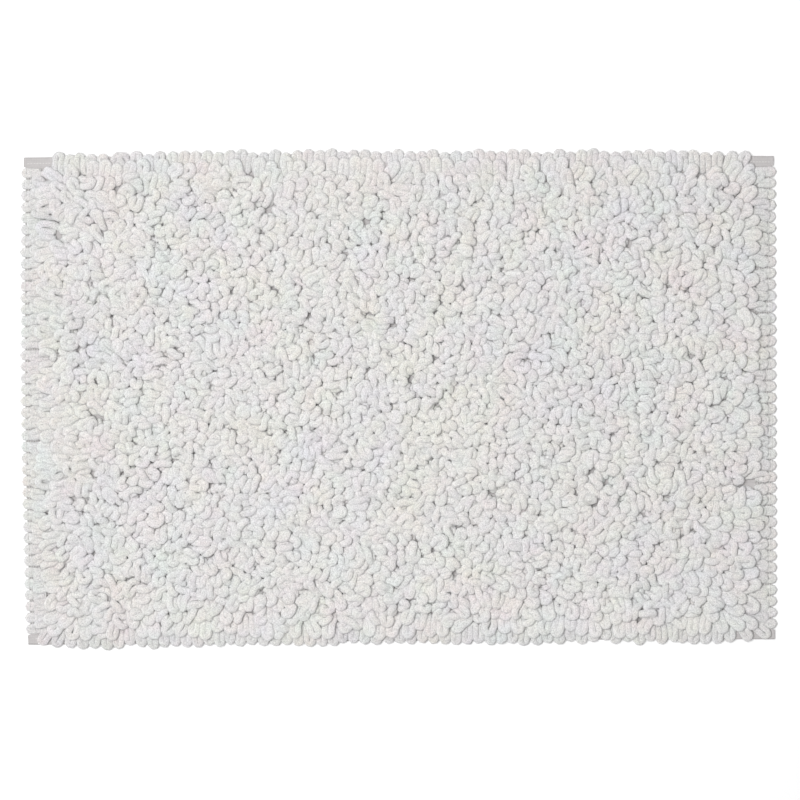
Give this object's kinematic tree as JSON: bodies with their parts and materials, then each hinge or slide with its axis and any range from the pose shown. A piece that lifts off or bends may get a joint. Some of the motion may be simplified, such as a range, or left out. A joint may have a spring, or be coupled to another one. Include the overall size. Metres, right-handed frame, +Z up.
{
  "type": "bath mat",
  "caption": "Rectangular woven bath mat with a deep pile of soft round yarn loops and a stitched hem along each long side.",
  "frame": {"origin": "on the floor, under the middle of the mat", "axes": "+X along the rows of yarn (the mat's long side), +Y across the rows, +Z up out of the pile"},
  "size_m": [0.7614, 0.5028, 0.0205],
  "materials": {
    "cloth": "matt woven cotton, off-white",
    "yarn": "soft brushed cotton yarn, off-white",
    "thread": "matt cotton sewing thread, off-white"
  },
  "bodies": {
    "root": {"base_cloth": "cloth", "pile_row_01": "yarn", "pile_row_02": "yarn", "pile_row_03": "yarn", "pile_row_04": "yarn", "pile_row_05": "yarn", "pile_row_06": "yarn", "pile_row_07": "yarn", "pile_row_08": "yarn", "pile_row_09": "yarn", "pile_row_10": "yarn", "pile_row_11": "yarn", "pile_row_12": "yarn", "pile_row_13": "yarn", "pile_row_14": "yarn", "pile_row_15": "yarn", "pile_row_16": "yarn", "pile_row_17": "yarn", "pile_row_18": "yarn", "pile_row_19": "yarn", "pile_row_20": "yarn", "pile_row_21": "yarn", "pile_row_22": "yarn", "pile_row_23": "yarn", "pile_row_24": "yarn", "pile_row_25": "yarn", "pile_row_26": "yarn", "pile_row_27": "yarn", "pile_row_28": "yarn", "pile_row_29": "yarn", "pile_row_30": "yarn", "pile_row_31": "yarn", "pile_row_32": "yarn", "pile_row_33": "yarn", "pile_row_34": "yarn", "pile_row_35": "yarn", "pile_row_36": "yarn", "pile_row_37": "yarn", "pile_row_38": "yarn", "pile_row_39": "yarn", "pile_row_40": "yarn", "pile_row_41": "yarn", "needle_thread_back": "thread", "bobbin_thread_back": "thread", "needle_thread_front": "thread", "bobbin_thread_front": "thread"}
  },
  "joints": []
}
